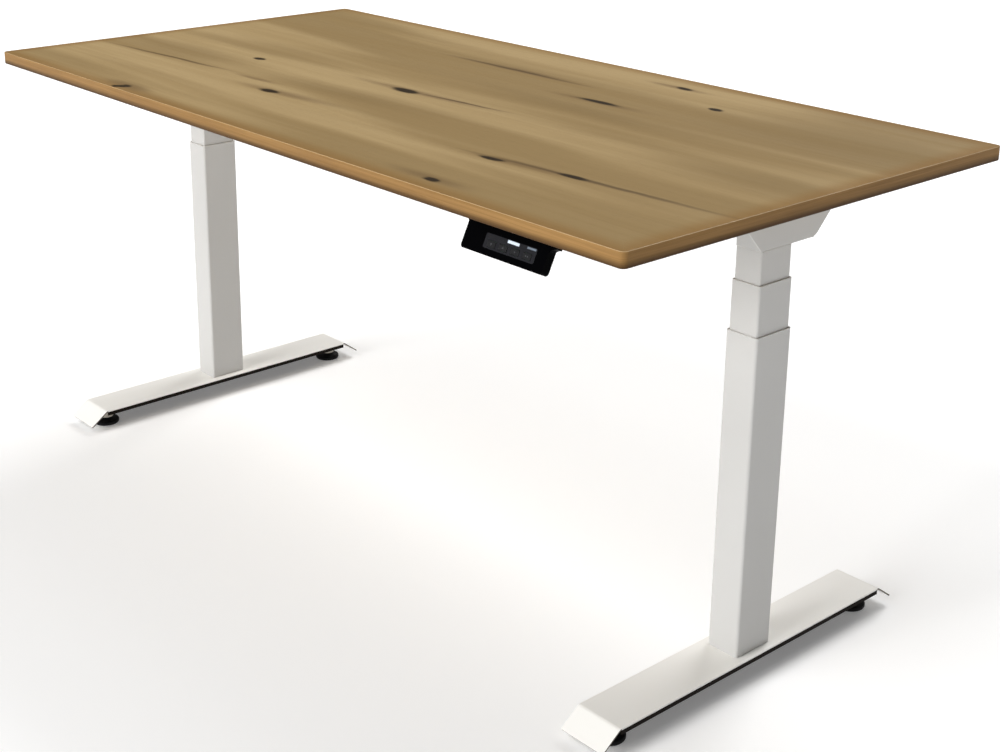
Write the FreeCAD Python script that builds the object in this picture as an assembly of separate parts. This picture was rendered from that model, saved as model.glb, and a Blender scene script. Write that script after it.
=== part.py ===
import FreeCAD, Part
import math
import os

# Height adjustable standing desk, in millimetres.
# +X runs along the desktop towards the end with the handset, -Y faces the user, +Z is up.
# The origin is on the floor under the middle of the desktop.

# desktop
desk_length = 1600.0
desk_depth = 800.0
board_thick = 22.0
band_thick = 2.0
corner_radius = 9.0

# columns: three rectangular tubes, the widest at the foot
column_spacing = 1400.0
column_y = -14.0
outer_width = 55.0
outer_depth = 75.0
tube_wall = 1.8
tube_gap = 0.7
tube_corner = 4.5
corner_step = 0.8
outer_length = 496.0
middle_rise = 74.0
inner_rise = 48.0
end_plate_thick = 10.0
stage_plate_thick = 12.0
stage_drop = 45.0
stage_lift = 275.0
stage_spare = 5.0
middle_spare = 15.0
inner_spare = 3.0
nut_spare = 3.0

# glide strips between the tubes
glide_run = 0.1
glide_length = 55.0
glide_inset = 3.0

# lead screws, nuts and the tubes that carry them
screw_radius = 6.0
hollow_wall = 2.7
hollow_bore_gap = 0.3
running_gap = 0.05
axial_gap = 0.3
support_radius = 13.0
push_radius = 18.0
push_wall = 3.0
support_hole_gap = 0.5
nut_length = 25.0
nut_seat = 10.0
stage_nut_length = 28.0
thread_grip = 8.0

# foot
foot_height = 40.0
foot_width = 80.0
foot_flat = 586.0
foot_sheet = 2.5
ramp_drop = 25.0
ramp_run = 34.0
stiffener_height = 7.5
stiffener_sheet = 2.5
stiffener_inset = 0.5
stiffener_end = 3.0

# levellers
leveller_inset = 19.0
pad_radius = 25.0
pad_height = 10.0
pad_edge = 2.0
stud_radius = 5.0
boss_radius = 14.0
boss_end = 14.0

# motor bracket and side arm; the front and back are measured from the column's axis
sheet = 2.5
bracket_height = 39.0
bracket_top_front = 68.0
bracket_top_back = 121.0
bracket_base_back = 83.0
arm_height = 28.0
arm_front = 271.0
arm_back = 319.0
arm_end_slope = 18.0
drive_hole_radius = 16.0
gearbox_gap = 0.2
gearbox_spare = 4.0
gearbox_front = 30.0
gearbox_back = 54.0
motor_radius = 19.0
motor_length = 112.0
motor_back = 34.0
motor_neck_radius = 10.0
motor_neck_gap = 0.3

# crossbeams under the desktop
beam_width = 40.0
beam_height = 25.0
beam_wall = 1.5
beam_end_plate = 4.0
beam_front = 70.0
beam_back = 100.0

# fasteners
washer_thick = 3.0
washer_radius = 10.0
board_screw_radius = 2.4
board_screw_head = 4.5
board_screw_head_height = 3.0
board_screw_bite = 14.0
clearance_hole = 0.3
screw_edge = 2.0
foot_bolt_radius = 4.0
foot_bolt_head = 7.0
foot_bolt_head_height = 4.5
foot_bolt_bite = 8.0
foot_bolt_edge = 13.0
beam_screw_radius = 3.0
beam_screw_head = 5.0
beam_screw_head_height = 3.0
beam_screw_pitch = 22.0

# handset under the front edge
handset_x = 587.0
handset_width = 152.0
handset_drop = 41.0
handset_tilt = 25.5
handset_thick = 13.0
handset_wall = 2.0
handset_corner = 5.0
flange_width = 174.0
flange_depth = 38.0
flange_thick = 4.0
window_x = 597.0
window_width = 94.0
window_height = 20.0
window_up = 9.0
window_thick = 1.2
window_corner = 2.5
key_names = ("down", "up", "memory_one", "memory_two")
key_width = 15.0
key_height = 8.0
key_pitch = 22.0
key_up = 3.0
key_proud = 0.5
key_depth = 5.0
key_gap = 0.35
key_travel_room = 1.2
key_corner = 1.0
circuit_thick = 1.6
post_radius = 2.5
post_inset = 5.0

# control box under the desktop
box_length = 260.0
box_depth = 110.0
box_height = 34.0
box_wall = 2.0
box_y = 190.0
lid_thick = 3.0
lid_ear = 16.0
socket_width = 16.0
socket_height = 12.0
socket_pitch = 24.0
socket_count = 4
socket_wall = 2.0
socket_block_depth = 18.0
socket_depth = 14.0
box_corner = 4.0
circuit_gap = 1.0
pillar_radius = 3.0
pillar_inset = 8.0

# places worked out from the sizes above
column_x = column_spacing / 2
outer_top = foot_height + outer_length
middle_top = outer_top + middle_rise
bracket_base = middle_top + inner_rise
arm_base = bracket_base + bracket_height
arm_top = arm_base + arm_height
board_base = arm_top + washer_thick
desk_height = board_base + board_thick
stage_step = tube_wall + tube_gap
middle_width = outer_width - 2 * stage_step
middle_depth = outer_depth - 2 * stage_step
inner_width = middle_width - 2 * stage_step
inner_depth = middle_depth - 2 * stage_step
glide_thick = tube_gap - glide_run
hollow_inner = screw_radius + hollow_bore_gap
hollow_radius = hollow_inner + hollow_wall
end_plate_top = foot_height + end_plate_thick
middle_base = end_plate_top + stage_drop + middle_spare
stage_plate_top = middle_base + stage_plate_thick
inner_base = stage_plate_top + stage_drop + inner_spare
hollow_base = end_plate_top + stage_drop + stage_spare
base_nut_base = hollow_base + stage_lift + stage_spare
base_nut_top = base_nut_base + nut_length
stage_nut_base = base_nut_top + stage_drop + nut_spare
stage_nut_seat = stage_nut_base + nut_seat
lead_screw_base = stage_nut_seat - stage_lift - thread_grip
gearbox_base = bracket_base + sheet
gearbox_height = bracket_height - sheet - gearbox_spare
motor_z = gearbox_base + gearbox_height / 2
tan_tilt = math.tan(math.radians(handset_tilt))
flange_back = -desk_depth / 2 + handset_drop * tan_tilt + flange_depth
face_height = handset_drop / math.cos(math.radians(handset_tilt))
lid_base = board_base - lid_thick
case_base = lid_base - box_height
leveller_y = foot_flat / 2 - leveller_inset


def vec(x, y, z):
    return FreeCAD.Vector(x, y, z)


def box(x0, x1, y0, y1, z0, z1):
    return Part.makeBox(x1 - x0, y1 - y0, z1 - z0, vec(x0, y0, z0))


def rod(radius, base, top, x=0.0, y=0.0):
    return Part.makeCylinder(radius, top - base, vec(x, y, base))


def ring(radius, bore, base, top, x=0.0, y=0.0):
    return rod(radius, base, top, x, y).cut(rod(bore, base, top, x, y))


def rod_x(radius, x0, x1, y, z):
    return Part.makeCylinder(radius, x1 - x0, vec(x0, y, z), vec(1, 0, 0))


def rounded(width, depth, radius, base, top, y=0.0):
    """Upright prism with rounded corners, centred on x = 0 and the given y."""
    block = box(-width / 2, width / 2, y - depth / 2, y + depth / 2, base, top)
    upright = [e for e in block.Edges if abs(e.Vertexes[0].Z - e.Vertexes[-1].Z) > 0.5]
    return block.makeFillet(radius, upright)


def rounded_tube(width, depth, radius, wall, base, top):
    hollow = rounded(width - 2 * wall, depth - 2 * wall, radius - wall, base, top)
    return rounded(width, depth, radius, base, top).cut(hollow)


def profile_x(points, x0, x1):
    """Prism along X with the outline given as (y, z) points."""
    corners = [vec(x0, y, z) for y, z in points]
    face = Part.Face(Part.makePolygon(corners + corners[:1]))
    return face.extrude(vec(x1 - x0, 0, 0))


def fuse(shapes):
    return shapes[0].multiFuse(shapes[1:]).removeSplitter()


def on_side(shape, side):
    """Takes a piece drawn about the right column's axis to its own column."""
    if side == "left":
        shape = shape.mirror(vec(0, 0, 0), vec(1, 0, 0))
        return shape.translated(vec(-column_x, column_y, 0))
    return shape.translated(vec(column_x, column_y, 0))


def save(shape, node):
    solids = shape.Solids
    if not solids or not all(s.isValid() and s.isClosed() for s in solids):
        raise ValueError(node + " is not a valid closed solid")
    Part.Compound(solids).exportStep("parts/" + node + ".step")


# ---- foot ---------------------------------------------------------------

def foot_bolt_places():
    reach_x = outer_width / 2 - foot_bolt_edge
    reach_y = outer_depth / 2 - foot_bolt_edge
    return [(x, y) for x in (-reach_x, reach_x) for y in (-reach_y, reach_y)]


def foot_shell():
    """Flat steel sheet bent down at both ends, with bolt holes for the column."""
    slope = math.atan2(ramp_drop, ramp_run)
    half = foot_flat / 2
    bend = half - foot_sheet * math.tan(slope / 2)
    tip_in = foot_sheet * math.sin(slope)
    tip_down = foot_sheet * math.cos(slope)
    tip = half + ramp_run
    tip_z = foot_height - ramp_drop
    low = foot_height - foot_sheet
    outline = [(-tip, tip_z), (-half, foot_height), (half, foot_height), (tip, tip_z),
               (tip - tip_in, tip_z - tip_down), (bend, low), (-bend, low),
               (tip_in - tip, tip_z - tip_down)]
    shell = profile_x(outline, -foot_width / 2, foot_width / 2)
    hole = foot_bolt_radius + clearance_hole
    for x, y in foot_bolt_places():
        shell = shell.cut(rod(hole, low, foot_height, x, y))
    return shell


def foot_stiffener():
    """Channel under the sheet, with threaded bosses for the levellers."""
    top = foot_height - foot_sheet
    bottom = top - stiffener_height
    web = top - stiffener_sheet
    half_x = foot_width / 2 - stiffener_inset
    half_y = foot_flat / 2 - stiffener_end
    channel = box(-half_x, half_x, -half_y, half_y, bottom, top)
    inner = half_x - stiffener_sheet
    channel = channel.cut(box(-inner, inner, -half_y, half_y, bottom, web))
    for x, y in foot_bolt_places():
        channel = channel.cut(rod(foot_bolt_radius + clearance_hole, web, top, x, y))
    for y in (-leveller_y, leveller_y):
        channel = channel.fuse(rod(boss_radius, boss_end, web, 0, y))
        channel = channel.cut(rod(stud_radius + running_gap, boss_end, top, 0, y))
    return channel


def leveller(y):
    """Round plastic pad and its threaded stud."""
    pad = rod(pad_radius, 0, pad_height, 0, y)
    rims = [e for e in pad.Edges if abs(e.Length - 2 * math.pi * pad_radius) < 0.01]
    pad = pad.makeFillet(pad_edge, rims)
    stud_top = foot_height - foot_sheet - stiffener_sheet - axial_gap
    stud = rod(stud_radius, pad_height, stud_top, 0, y)
    return Part.Compound([pad, stud])


def foot_bolts():
    web = foot_height - foot_sheet - stiffener_sheet
    bolts = []
    for x, y in foot_bolt_places():
        head = rod(foot_bolt_head, web - foot_bolt_head_height, web, x, y)
        shank = rod(foot_bolt_radius, web, foot_height + foot_bolt_bite, x, y)
        bolts.append(head.fuse(shank).removeSplitter())
    return Part.Compound(bolts)


# ---- column -------------------------------------------------------------

def outer_tube():
    """Largest tube with its welded end plate, threaded for the foot bolts."""
    tube = rounded_tube(outer_width, outer_depth, tube_corner, tube_wall, foot_height, outer_top)
    plate = rounded(outer_width - tube_wall, outer_depth - tube_wall, tube_corner - tube_wall / 2,
                    foot_height, end_plate_top)
    tube = tube.fuse(plate)
    for x, y in foot_bolt_places():
        tube = tube.cut(rod(foot_bolt_radius + running_gap, foot_height, end_plate_top, x, y))
    return tube.removeSplitter()


def middle_tube():
    return rounded_tube(middle_width, middle_depth, tube_corner - corner_step, tube_wall,
                        middle_base, middle_top)


def inner_tube():
    return rounded_tube(inner_width, inner_depth, tube_corner - 2 * corner_step, tube_wall,
                        inner_base, bracket_base)


def glide_strips(width, depth, base, top, outside):
    """Four strips on the flats of a tube, outside it or inside its wall."""
    strips = []
    half_x = width / 2
    half_y = depth / 2
    side = 1 if outside else -1
    reach_x = width / 2 - tube_corner - glide_inset
    reach_y = depth / 2 - tube_corner - glide_inset
    for sign in (-1, 1):
        xs = sorted((sign * half_x, sign * (half_x + side * glide_thick)))
        ys = sorted((sign * half_y, sign * (half_y + side * glide_thick)))
        strips.append(box(xs[0], xs[1], -reach_y, reach_y, base, top))
        strips.append(box(-reach_x, reach_x, ys[0], ys[1], base, top))
    return strips


def outer_glides():
    top = outer_top - glide_inset
    return Part.Compound(glide_strips(outer_width - 2 * tube_wall, outer_depth - 2 * tube_wall,
                                      top - glide_length, top, False))


def middle_glides():
    low = middle_base + glide_inset
    high = middle_top - glide_inset
    strips = glide_strips(middle_width, middle_depth, low, low + glide_length, True)
    strips += glide_strips(middle_width - 2 * tube_wall, middle_depth - 2 * tube_wall,
                           high - glide_length, high, False)
    return Part.Compound(strips)


def inner_glides():
    low = inner_base + glide_inset
    return Part.Compound(glide_strips(inner_width, inner_depth, low, low + glide_length, True))


def stage_plate():
    """Closes the middle tube's foot and carries the push tube."""
    inset = 2 * (tube_wall + running_gap)
    plate = rounded(middle_width - inset, middle_depth - inset,
                    tube_corner - corner_step - tube_wall, middle_base, stage_plate_top)
    return plate.cut(rod(support_radius + support_hole_gap, middle_base, stage_plate_top))


def push_tube():
    return ring(push_radius, push_radius - push_wall, stage_plate_top, stage_nut_base)


def stage_nut():
    """Nut of the lead screw; a seat in its underside holds the hollow screw's top end."""
    nut = ring(push_radius, screw_radius + running_gap, stage_nut_base,
               stage_nut_base + stage_nut_length)
    return nut.cut(rod(hollow_radius + running_gap, stage_nut_base, stage_nut_seat))


def support_tube():
    return ring(support_radius, hollow_radius + support_hole_gap, end_plate_top, base_nut_base)


def base_nut():
    return ring(support_radius, hollow_radius + running_gap, base_nut_base, base_nut_top)


def hollow_screw():
    return ring(hollow_radius, hollow_inner, hollow_base, stage_nut_seat - axial_gap)


def lead_screw():
    return rod(screw_radius, lead_screw_base, gearbox_base + gearbox_height - sheet)


# ---- head of the column -------------------------------------------------

def bracket_outline(inset):
    """Outline of the motor bracket's cheeks, moved in by the sheet it is folded from."""
    base_front = inner_depth / 2
    front_slope = math.atan2(bracket_height, bracket_top_front - base_front)
    back_slope = math.atan2(bracket_height, bracket_top_back - bracket_base_back)
    front_in = inset / math.sin(front_slope)
    back_in = inset / math.sin(back_slope)
    rise = inset / math.tan(front_slope)
    back_rise = inset / math.tan(back_slope)
    return [(-base_front - rise + front_in, bracket_base + inset),
            (-bracket_top_front + front_in, arm_base),
            (bracket_top_back - back_in, arm_base),
            (bracket_base_back + back_rise - back_in, bracket_base + inset)]


def motor_bracket():
    """Folded housing on top of the inner tube, open at the top where the side arm closes it."""
    half = inner_width / 2
    housing = profile_x(bracket_outline(0.0), -half, half)
    housing = housing.cut(profile_x(bracket_outline(sheet), sheet - half, half - sheet))
    housing = housing.cut(rod(drive_hole_radius, bracket_base, gearbox_base))
    neck = rod_x(motor_neck_radius + motor_neck_gap, -half, sheet - half, motor_back, motor_z)
    return housing.cut(neck)


def side_arm():
    """Inverted channel under the end of the desktop, with sloped ends."""
    half = inner_width / 2
    outline = [(-arm_front, arm_top), (-arm_front, arm_top - sheet),
               (-arm_front + arm_end_slope, arm_base), (arm_back - arm_end_slope, arm_base),
               (arm_back, arm_top - sheet), (arm_back, arm_top)]
    arm = profile_x(outline, -half, half)
    inner = half - sheet
    arm = arm.cut(box(-inner, inner, -arm_front, arm_back, arm_base, arm_top - sheet))
    for y in arm_screw_places():
        arm = arm.cut(rod(board_screw_radius + clearance_hole, arm_top - sheet, arm_top, 0, y))
    for y, z in beam_screw_places():
        arm = arm.cut(rod_x(beam_screw_radius + clearance_hole, -half, sheet - half, y, z))
    return arm


def gearbox():
    half = inner_width / 2 - sheet - gearbox_gap
    top = gearbox_base + gearbox_height
    body = box(-half, half, -gearbox_front, gearbox_back, gearbox_base, top)
    edges = [e for e in body.Edges if abs(e.Vertexes[0].X - e.Vertexes[-1].X) > 1.0]
    body = body.makeFillet(sheet, edges)
    bore = screw_radius + running_gap
    return body.cut(rod(bore, gearbox_base, top - sheet))


def gear_motor():
    """Motor can with its neck through the bracket's cheek, pointing towards the desk's middle."""
    half = inner_width / 2
    can = rod_x(motor_radius, -half - motor_length, -half, motor_back, motor_z)
    rim = [e for e in can.Edges if abs(e.Length - 2 * math.pi * motor_radius) < 0.01]
    can = can.makeFillet(sheet, [e for e in rim if e.CenterOfMass.x < -half - 1.0])
    neck = rod_x(motor_neck_radius, -half, sheet + gearbox_gap - half, motor_back, motor_z)
    return can.fuse(neck).removeSplitter()


def arm_screw_places():
    """Two screws ahead of the bracket and two behind it, clear of its cheeks."""
    front = arm_front - arm_end_slope - washer_radius
    back = arm_back - arm_end_slope - washer_radius
    return [-front, -bracket_top_front - 2 * washer_radius, bracket_top_back + 2 * washer_radius, back]


def beam_screw_places():
    z = arm_top - beam_height / 2
    return [(y + step, z) for y in (-beam_front, beam_back)
            for step in (-beam_screw_pitch / 2, beam_screw_pitch / 2)]


# ---- frame and desktop --------------------------------------------------

def crossbeams():
    """Front and rear rectangular tubes between the side arms, with threaded end plates."""
    end = column_x - inner_width / 2
    beams = []
    for y in (-beam_front, beam_back):
        y0 = column_y + y - beam_width / 2
        y1 = y0 + beam_width
        z0 = arm_top - beam_height
        beam = box(-end, end, y0, y1, z0, arm_top)
        inner = box(beam_end_plate - end, end - beam_end_plate, y0 + beam_wall, y1 - beam_wall,
                    z0 + beam_wall, arm_top - beam_wall)
        beams.append(beam.cut(inner))
    screw_hole = beam_screw_radius + running_gap
    for number, (y, z) in enumerate(beam_screw_places()):
        which = number // 2
        for x0 in (-end, end - beam_end_plate):
            hole = rod_x(screw_hole, x0, x0 + beam_end_plate, column_y + y, z)
            beams[which] = beams[which].cut(hole)
    return Part.Compound(beams)


def beam_screws():
    end = column_x - inner_width / 2
    screws = []
    for sign in (-1, 1):
        for y, z in beam_screw_places():
            face = end + sheet
            head = rod_x(beam_screw_head, face, face + beam_screw_head_height, column_y + y, z)
            shank = rod_x(beam_screw_radius, end - beam_end_plate, face, column_y + y, z)
            screw = head.fuse(shank).removeSplitter()
            if sign < 0:
                screw = screw.mirror(vec(0, 0, 0), vec(1, 0, 0))
            screws.append(screw)
    return Part.Compound(screws)


def arm_screw_points():
    return [(sign * column_x, column_y + y) for sign in (-1, 1) for y in arm_screw_places()]


def handset_screw_points():
    reach = flange_width / 2 - board_screw_head - screw_edge
    y = flange_back - board_screw_head - screw_edge
    return [(handset_x - reach, y), (handset_x + reach, y)]


def lid_screw_points():
    reach_x = box_length / 2 + lid_ear / 2
    reach_y = box_depth / 2 - lid_ear / 2
    return [(x, box_y + y) for x in (-reach_x, reach_x) for y in (-reach_y, reach_y)]


def board_screws():
    screws = []
    places = [(p, arm_top - sheet) for p in arm_screw_points()]
    places += [(p, board_base - flange_thick) for p in handset_screw_points()]
    places += [(p, board_base - lid_thick) for p in lid_screw_points()]
    for (x, y), seat in places:
        head = rod(board_screw_head, seat - board_screw_head_height, seat, x, y)
        shank = rod(board_screw_radius, seat, board_base + board_screw_bite, x, y)
        screws.append(head.fuse(shank).removeSplitter())
    return Part.Compound(screws)


def board_washers():
    hole = board_screw_radius + clearance_hole
    return Part.Compound([ring(washer_radius, hole, arm_top, board_base, x, y)
                          for x, y in arm_screw_points()])


def desktop_board():
    """Wood board with pilot holes in its underside."""
    board = rounded(desk_length - 2 * band_thick, desk_depth - 2 * band_thick,
                    corner_radius - band_thick, board_base, desk_height)
    pilot = board_screw_radius + running_gap
    pilot_top = board_base + board_screw_bite + axial_gap
    for x, y in arm_screw_points() + handset_screw_points() + lid_screw_points():
        board = board.cut(rod(pilot, board_base, pilot_top, x, y))
    return board


def edge_band():
    return rounded_tube(desk_length, desk_depth, corner_radius, band_thick, board_base, desk_height)


# ---- handset ------------------------------------------------------------
# The face lies in a plane tilted back from upright. Its pieces are drawn lying flat, with
# x along the desk, y up the face and z out of the face, then turned to their place.

def on_face(shape):
    turn = FreeCAD.Rotation(vec(1, 0, 0), 90.0 - handset_tilt)
    place = FreeCAD.Placement(vec(0, -desk_depth / 2, board_base - handset_drop), turn)
    return shape.transformGeometry(place.toMatrix())


def face_block(x, width, y0, y1, z0, z1, corner):
    block = box(x - width / 2, x + width / 2, y0, y1, z0, z1)
    upright = [e for e in block.Edges if abs(e.Vertexes[0].Z - e.Vertexes[-1].Z) > 0.2]
    return block.makeFillet(corner, upright) if corner else block


def key_x(number):
    return window_x + (number - (len(key_names) - 1) / 2) * key_pitch


def handset_case():
    """Tilted shell with a mounting flange; the face is recessed for the window panel."""
    over = handset_thick
    slab = face_block(handset_x, handset_width, 0, face_height + over, -handset_thick, 0,
                      handset_corner)
    inside = handset_wall
    cavity = face_block(handset_x, handset_width - 2 * inside, inside, face_height - inside,
                        inside - handset_thick, -inside, handset_corner - inside)
    recess = face_block(window_x, window_width, window_up, window_up + window_height,
                        -window_thick, 0, window_corner)
    slab = slab.cut(cavity).cut(recess)
    for number in range(len(key_names)):
        slot = face_block(key_x(number), key_width + 2 * key_gap,
                          window_up + key_up - key_gap, window_up + key_up + key_height + key_gap,
                          -window_thick - inside, 0, 0)
        slab = slab.cut(slot)
    slab = on_face(slab)
    above = box(handset_x - handset_width, handset_x + handset_width,
                -desk_depth / 2 - over, 0, board_base, board_base + 4 * over)
    slab = slab.cut(above)
    front = -desk_depth / 2 + (handset_drop - flange_thick) * tan_tilt + handset_wall
    flange = box(handset_x - flange_width / 2, handset_x + flange_width / 2, front, flange_back,
                 board_base - flange_thick, board_base)
    case = slab.fuse(flange).removeSplitter()
    for x, y in handset_screw_points():
        case = case.cut(rod(board_screw_radius + clearance_hole, board_base - flange_thick,
                            board_base, x, y))
    return case


def handset_window():
    gap = running_gap
    panel = face_block(window_x, window_width - 2 * gap, window_up + gap,
                       window_up + window_height - gap, -window_thick, 0, window_corner - gap)
    for number in range(len(key_names)):
        slot = face_block(key_x(number), key_width + 2 * key_gap,
                          window_up + key_up - key_gap, window_up + key_up + key_height + key_gap,
                          -window_thick, 0, 0)
        panel = panel.cut(slot)
    return on_face(panel)


def handset_key(number):
    key = face_block(key_x(number), key_width, window_up + key_up,
                     window_up + key_up + key_height, key_proud - key_depth, key_proud, key_corner)
    return on_face(key)


def handset_circuit():
    """Circuit board on the floor of the case, one key travel under the keys."""
    top = key_proud - key_depth - key_travel_room
    base = handset_wall - handset_thick
    half = handset_width / 2 - 2 * handset_corner
    board = box(handset_x - half, handset_x + half, 2 * handset_wall,
                face_height - 3 * handset_wall, top - circuit_thick, top)
    posts = []
    for x in (handset_x - half + post_inset, handset_x + half - post_inset):
        for y in (2 * handset_wall + post_inset, face_height - 3 * handset_wall - post_inset):
            posts.append(rod(post_radius, base, top - circuit_thick, x, y))
    return on_face(fuse([board] + posts))


# ---- control box --------------------------------------------------------


def socket_places():
    first = box_y - (socket_count - 1) / 2 * socket_pitch
    return [first + number * socket_pitch for number in range(socket_count)]


def control_case():
    """Tray under the lid, with sockets in its right end."""
    half_x = box_length / 2
    y0 = box_y - box_depth / 2
    y1 = box_y + box_depth / 2
    case = rounded(box_length, box_depth, box_corner, case_base, lid_base, box_y)
    case = case.cut(box(box_wall - half_x, half_x - box_wall, y0 + box_wall, y1 - box_wall,
                        case_base + box_wall, lid_base))
    socket_z = case_base + box_height / 2
    for y in socket_places():
        case = case.cut(box(half_x - box_wall, half_x, y - socket_width / 2, y + socket_width / 2,
                            socket_z - socket_height / 2, socket_z + socket_height / 2))
    return case


def control_lid():
    ear_x = box_length / 2 + lid_ear
    lid = rounded(2 * ear_x, box_depth, box_corner, lid_base, board_base, box_y)
    for x, y in lid_screw_points():
        lid = lid.cut(rod(board_screw_radius + clearance_hole, lid_base, board_base, x, y))
    return lid


def control_circuit():
    """Circuit board on pillars, with one socket block behind each opening."""
    half_x = box_length / 2 - box_wall - circuit_gap
    half_y = box_depth / 2 - box_wall - circuit_gap
    floor = case_base + box_wall
    socket_z = case_base + box_height / 2
    top = socket_z - socket_height / 2
    pieces = [box(-half_x, half_x, box_y - half_y, box_y + half_y, top - circuit_thick, top)]
    for x in (pillar_inset - half_x, half_x - pillar_inset):
        for y in (box_y - half_y + pillar_inset, box_y + half_y - pillar_inset):
            pieces.append(rod(pillar_radius, floor, top - circuit_thick, x, y))
    outside = socket_width / 2 + socket_wall
    inside = socket_width / 2 - socket_wall / 2
    for y in socket_places():
        block = box(half_x - socket_block_depth, half_x, y - outside, y + outside,
                    top, top + socket_height)
        mouth = box(half_x - socket_depth, half_x, y - inside, y + inside,
                    top + socket_wall, top + socket_height - socket_wall)
        pieces.append(block.cut(mouth))
    return fuse(pieces)


# ---- write every node ---------------------------------------------------

os.makedirs("parts", exist_ok=True)

side_nodes = {
    "foot_shell": foot_shell,
    "foot_stiffener": foot_stiffener,
    "foot_bolts": foot_bolts,
    "outer_tube": outer_tube,
    "outer_glides": outer_glides,
    "support_tube": support_tube,
    "base_nut": base_nut,
    "middle_tube": middle_tube,
    "middle_glides": middle_glides,
    "stage_plate": stage_plate,
    "push_tube": push_tube,
    "stage_nut": stage_nut,
    "hollow_screw": hollow_screw,
    "inner_tube": inner_tube,
    "inner_glides": inner_glides,
    "lead_screw": lead_screw,
    "motor_bracket": motor_bracket,
    "gearbox": gearbox,
    "gear_motor": gear_motor,
    "side_arm": side_arm,
}
for side in ("left", "right"):
    for name, make in side_nodes.items():
        save(on_side(make(), side), name + "_" + side)
    save(on_side(leveller(-leveller_y), side), "leveller_front_" + side)
    save(on_side(leveller(leveller_y), side), "leveller_rear_" + side)

save(crossbeams(), "crossbeams")
save(beam_screws(), "beam_screws")
save(desktop_board(), "desktop_board")
save(edge_band(), "edge_band")
save(board_screws(), "board_screws")
save(board_washers(), "board_washers")
save(handset_case(), "handset_case")
save(handset_window(), "handset_window")
save(handset_circuit(), "handset_circuit")
for number, name in enumerate(key_names):
    save(handset_key(number), "key_" + name)
save(control_case(), "control_case")
save(control_lid(), "control_lid")
save(control_circuit(), "control_circuit")
print("desk height", desk_height)
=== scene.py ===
import bpy
import bmesh
import math
from mathutils import Matrix, Vector


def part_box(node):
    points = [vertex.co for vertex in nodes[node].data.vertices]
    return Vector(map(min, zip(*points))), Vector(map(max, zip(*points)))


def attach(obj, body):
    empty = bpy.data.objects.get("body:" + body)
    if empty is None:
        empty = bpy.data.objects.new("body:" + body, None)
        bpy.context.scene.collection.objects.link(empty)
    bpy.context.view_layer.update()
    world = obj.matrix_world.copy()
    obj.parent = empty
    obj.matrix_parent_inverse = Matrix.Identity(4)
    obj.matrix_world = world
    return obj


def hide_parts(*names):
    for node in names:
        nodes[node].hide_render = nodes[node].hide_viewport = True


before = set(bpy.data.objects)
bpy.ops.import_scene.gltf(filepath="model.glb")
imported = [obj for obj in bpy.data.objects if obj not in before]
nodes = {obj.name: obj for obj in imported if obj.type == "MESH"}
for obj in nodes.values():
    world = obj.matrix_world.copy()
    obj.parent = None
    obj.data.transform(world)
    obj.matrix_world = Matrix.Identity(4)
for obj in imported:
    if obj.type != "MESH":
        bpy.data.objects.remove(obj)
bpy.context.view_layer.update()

SIDES = ("left", "right")
scene = bpy.context.scene

# ---- Room ----------------------------------------------------------------
# A plain pale studio floor, one large soft box straight ahead of the desk, weaker ones high
# ahead and overhead, a strong one high behind, and a surround that dims upwards.

floor_mesh = bmesh.new()
bmesh.ops.create_grid(floor_mesh, x_segments=1, y_segments=1, size=30)
floor_data = bpy.data.meshes.new("studio_floor")
floor_mesh.to_mesh(floor_data)
floor_mesh.free()
floor = bpy.data.objects.new("studio_floor", floor_data)
scene.collection.objects.link(floor)


def new_material(name, colour, roughness, metallic=0.0):
    """A material with its node tree and its Principled shader."""
    material = bpy.data.materials.new(name)
    material.use_nodes = True
    shader = material.node_tree.nodes["Principled BSDF"]
    shader.inputs["Base Color"].default_value = (*colour, 1)
    shader.inputs["Roughness"].default_value = roughness
    shader.inputs["Metallic"].default_value = metallic
    return material, material.node_tree, shader


def add_node(tree, kind, inputs=None, **settings):
    """Adds a node, sets its options and fills its inputs with values or links."""
    made = tree.nodes.new(kind)
    for key, value in settings.items():
        setattr(made, key, value)
    for key, value in (inputs or {}).items():
        if isinstance(value, bpy.types.NodeSocket):
            tree.links.new(value, made.inputs[key])
        else:
            made.inputs[key].default_value = value
    return made


def place_of(tree):
    """The place of a point on the piece, which every pattern reads."""
    return add_node(tree, "ShaderNodeTexCoord").outputs["Object"]


def blend_colour(tree, factor, first, second):
    """Mixes two colours, each given as red, green and blue or as a link."""
    made = add_node(tree, "ShaderNodeMix", {"Factor": factor}, data_type="RGBA")
    for key, value in (("A", first), ("B", second)):
        if isinstance(value, bpy.types.NodeSocket):
            tree.links.new(value, made.inputs[key])
        else:
            made.inputs[key].default_value = (*value, 1)
    return made.outputs["Result"]


floor_paint, floor_tree, floor_shader = new_material("studio_floor_paint", (0.93, 0.93, 0.93), 0.9)
floor_place = place_of(floor_tree)
floor_cloud = add_node(floor_tree, "ShaderNodeTexNoise", {"Vector": floor_place, "Scale": 0.8,
                       "Detail": 2.0})
floor_tone = blend_colour(floor_tree, floor_cloud.outputs["Fac"], (0.90, 0.90, 0.90), (0.92, 0.92, 0.92))
floor_tree.links.new(floor_tone, floor_shader.inputs["Base Color"])
floor_shader.inputs["Specular IOR Level"].default_value = 0.1
# The floor glows a little, and more with distance, so that it fades into the surround.
floor_reach = add_node(floor_tree, "ShaderNodeVectorMath", {0: floor_place}, operation="LENGTH")
floor_glow = add_node(floor_tree, "ShaderNodeMapRange", {"Value": floor_reach.outputs["Value"],
                      "From Min": 0.8, "From Max": 6.0, "To Min": 0.16, "To Max": 0.56})
floor_shader.inputs["Emission Color"].default_value = (1, 1, 1, 1)
floor_tree.links.new(floor_glow.outputs["Result"], floor_shader.inputs["Emission Strength"])
floor.data.materials.append(floor_paint)

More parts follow.
